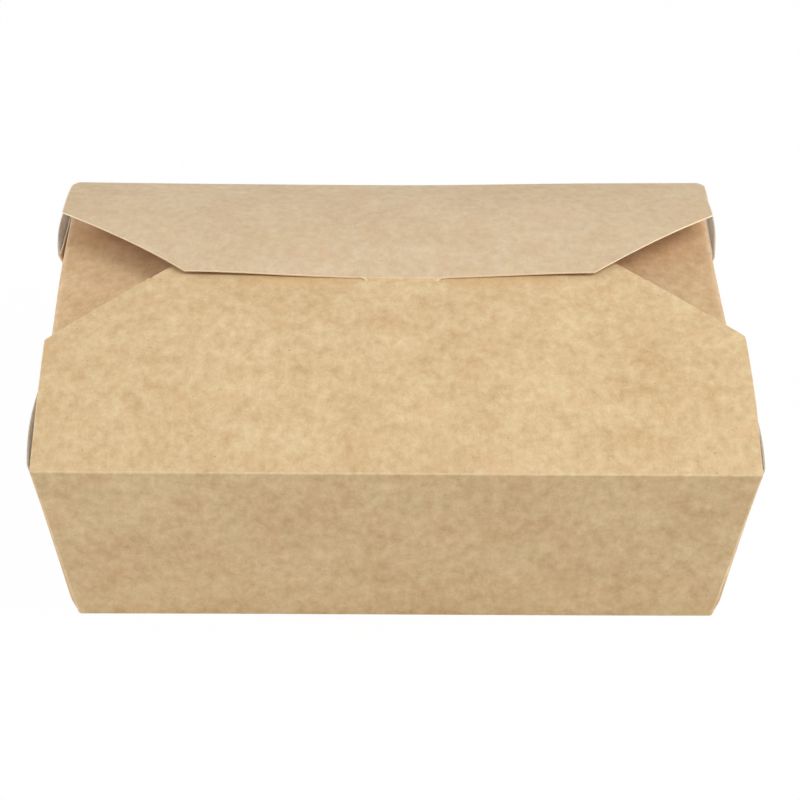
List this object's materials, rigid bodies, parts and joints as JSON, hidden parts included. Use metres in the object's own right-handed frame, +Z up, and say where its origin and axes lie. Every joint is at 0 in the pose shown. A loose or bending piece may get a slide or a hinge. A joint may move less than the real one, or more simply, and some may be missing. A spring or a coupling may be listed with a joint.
{
  "type": "takeaway food carton",
  "caption": "Folded kraft board takeaway carton with flared walls, doubled corner gussets and a hinged back flap that shuts with a tuck tab in a slit.",
  "frame": {"origin": "centre of the base's footprint, on the surface that the carton stands on", "axes": "+X along the length, +Y towards the wall that carries the back flap, +Z up"},
  "size_m": [0.2214, 0.1598, 0.0786],
  "materials": {
    "kraft_board": "uncoated brown kraft board, cloudy, with fine fibres",
    "kraft_board_lid": "the same kraft board on the back flap"
  },
  "bodies": {
    "carton": {"carton": "kraft_board"},
    "back_flap": {"back_flap": "kraft_board_lid"}
  },
  "joints": [
    {"name": "back_flap_hinge", "type": "hinge", "parent": "carton", "child": "back_flap", "pos_m": [0, 0.07931, 0.0644], "axis": [-1, 0, 0], "range_deg": [0, 180]}
  ]
}
